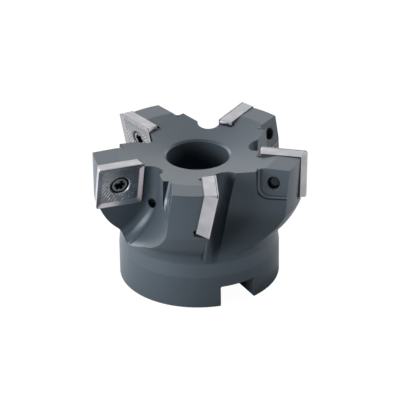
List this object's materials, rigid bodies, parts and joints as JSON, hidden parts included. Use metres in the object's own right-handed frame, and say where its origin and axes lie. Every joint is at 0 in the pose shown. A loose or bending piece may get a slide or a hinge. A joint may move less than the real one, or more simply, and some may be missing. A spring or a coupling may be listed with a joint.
{
  "type": "indexable face mill",
  "caption": "Face mill for an arbor: a round steel cutter body with deep curved gullets and square tipped inserts, each seated in a pocket and held by a countersunk screw.",
  "frame": {"origin": "on the arbor axis, in the plane of the hub's back face", "axes": "+Z along the arbor axis towards the cutting face, +X through the nose of the first tooth, +Y along one drive slot"},
  "size_m": [0.0612, 0.0606, 0.04],
  "materials": {
    "body_steel": "satin, dark blue-grey",
    "carbide": "fine ground, light grey with a faint violet tint",
    "screw_steel": "satin, near black"
  },
  "bodies": {
    "root": {"cutter_body": "body_steel", "insert_1": "carbide", "insert_2": "carbide", "insert_3": "carbide", "insert_4": "carbide", "insert_5": "carbide", "insert_screw_1": "screw_steel", "insert_screw_2": "screw_steel", "insert_screw_3": "screw_steel", "insert_screw_4": "screw_steel", "insert_screw_5": "screw_steel"}
  },
  "joints": []
}
